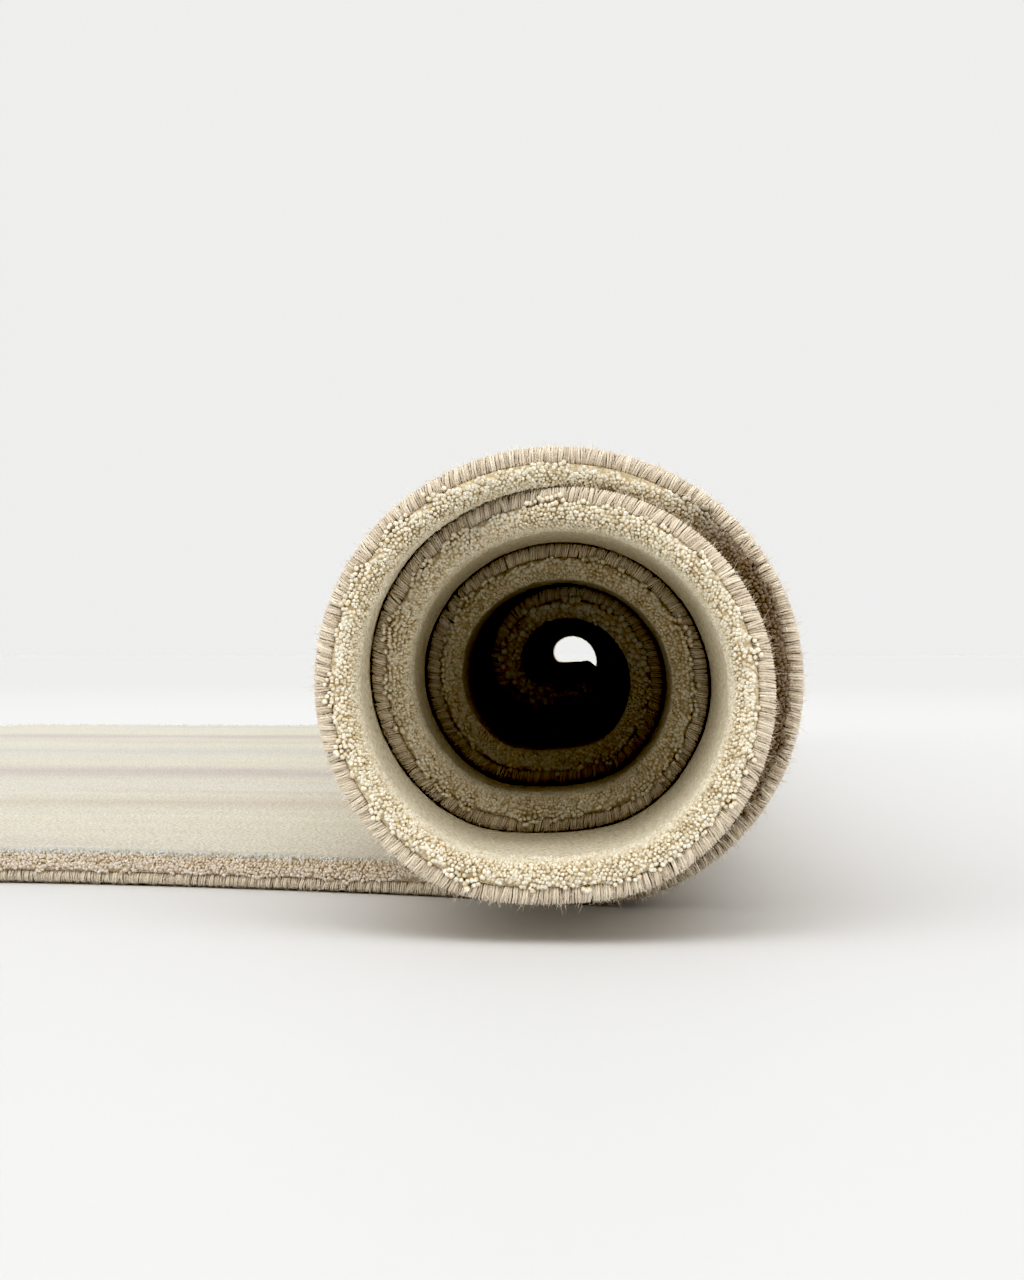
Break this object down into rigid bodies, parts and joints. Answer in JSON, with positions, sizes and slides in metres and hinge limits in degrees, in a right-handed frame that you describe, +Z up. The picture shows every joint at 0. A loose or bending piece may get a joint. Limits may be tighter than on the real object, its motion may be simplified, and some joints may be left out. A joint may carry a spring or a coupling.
{
  "type": "rolled up carpet",
  "caption": "Tufted wool rug with a serged edge, wound into a loose spiral roll with its pile inside and one end left lying flat.",
  "frame": {"origin": "middle of the bottom of the whole object's box, on the surface it lies on", "axes": "+Y along the roll's axis, from the funnel-shaped end to the end where the core stands out; +X from the loose end towards the roll; +Z up"},
  "size_m": [0.7918, 1.8164, 0.1882],
  "materials": {
    "wool_pile": "dense cut wool pile, cream with soft taupe, lilac and yellow bands",
    "serging_yarn": "whipped wool yarn, pinkish beige"
  },
  "bodies": {
    "root": {"carpet": "wool_pile", "binding": "serging_yarn"}
  },
  "joints": []
}
